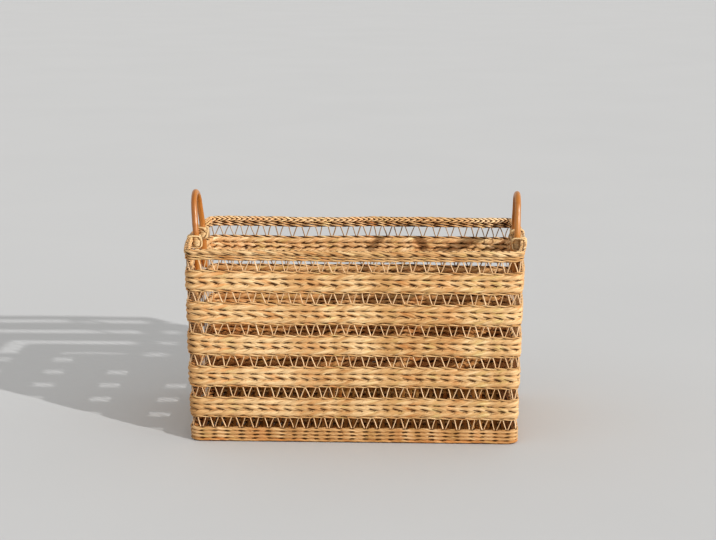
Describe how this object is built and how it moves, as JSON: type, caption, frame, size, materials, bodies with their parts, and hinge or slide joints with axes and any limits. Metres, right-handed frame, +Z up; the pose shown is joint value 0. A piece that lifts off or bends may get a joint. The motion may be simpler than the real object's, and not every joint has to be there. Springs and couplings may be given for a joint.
{
  "type": "magazine basket",
  "caption": "Open rectangular woven basket for magazines: thick straw bands between open rows of split-cane stakes, a plaited rim and a fixed bent-cane bow at each short end.",
  "frame": {"origin": "on the floor, under the middle of the basket", "axes": "+X along the long walls to the right-hand handle, +Y to the back wall, +Z up"},
  "size_m": [0.5604, 0.3272, 0.3875],
  "materials": {
    "straw_wale": "dry, slightly glossy twisted straw",
    "straw_twine": "dry straw cord",
    "split_cane": "pale split cane, satin",
    "bent_cane": "oiled bent cane, satin",
    "cane_peel": "smooth cane peel",
    "base_straw": "flat woven straw",
    "base_cane": "raw cane sticks"
  },
  "bodies": {
    "root": {"foot_twine_1": "straw_twine", "foot_twine_2": "straw_twine", "foot_twine_3": "straw_twine", "foot_twine_4": "straw_twine", "stakes_row_1": "split_cane", "stakes_row_2": "split_cane", "stakes_row_3": "split_cane", "stakes_row_4": "split_cane", "stakes_row_5": "split_cane", "stakes_row_6": "split_cane", "band_1_lower_twine": "straw_twine", "band_1_wale_1": "straw_wale", "band_1_wale_2": "straw_wale", "band_1_wale_3": "straw_wale", "band_1_upper_twine": "straw_twine", "band_2_lower_twine": "straw_twine", "band_2_wale_1": "straw_wale", "band_2_wale_2": "straw_wale", "band_2_wale_3": "straw_wale", "band_2_upper_twine": "straw_twine", "band_3_lower_twine": "straw_twine", "band_3_wale_1": "straw_wale", "band_3_wale_2": "straw_wale", "band_3_wale_3": "straw_wale", "band_3_upper_twine": "straw_twine", "band_4_lower_twine": "straw_twine", "band_4_wale_1": "straw_wale", "band_4_wale_2": "straw_wale", "band_4_wale_3": "straw_wale", "band_4_upper_twine": "straw_twine", "band_5_lower_twine": "straw_twine", "band_5_wale_1": "straw_wale", "band_5_wale_2": "straw_wale", "band_5_wale_3": "straw_wale", "band_5_upper_twine": "straw_twine", "rim_twine_1": "straw_twine", "rim_twine_2": "straw_twine", "rim_rope_outer": "straw_wale", "rim_rope_inner": "straw_wale", "handle_right": "bent_cane", "handle_left": "bent_cane", "lashing_right_front": "cane_peel", "lashing_right_rear": "cane_peel", "lashing_left_front": "cane_peel", "lashing_left_rear": "cane_peel", "base_stick_1": "base_cane", "base_stick_2": "base_cane", "base_stick_3": "base_cane", "base_stick_4": "base_cane", "base_stick_5": "base_cane", "base_weaver_1": "base_straw", "base_weaver_2": "base_straw", "base_weaver_3": "base_straw", "base_weaver_4": "base_straw", "base_weaver_5": "base_straw", "base_weaver_6": "base_straw", "base_weaver_7": "base_straw", "base_weaver_8": "base_straw"}
  },
  "joints": []
}
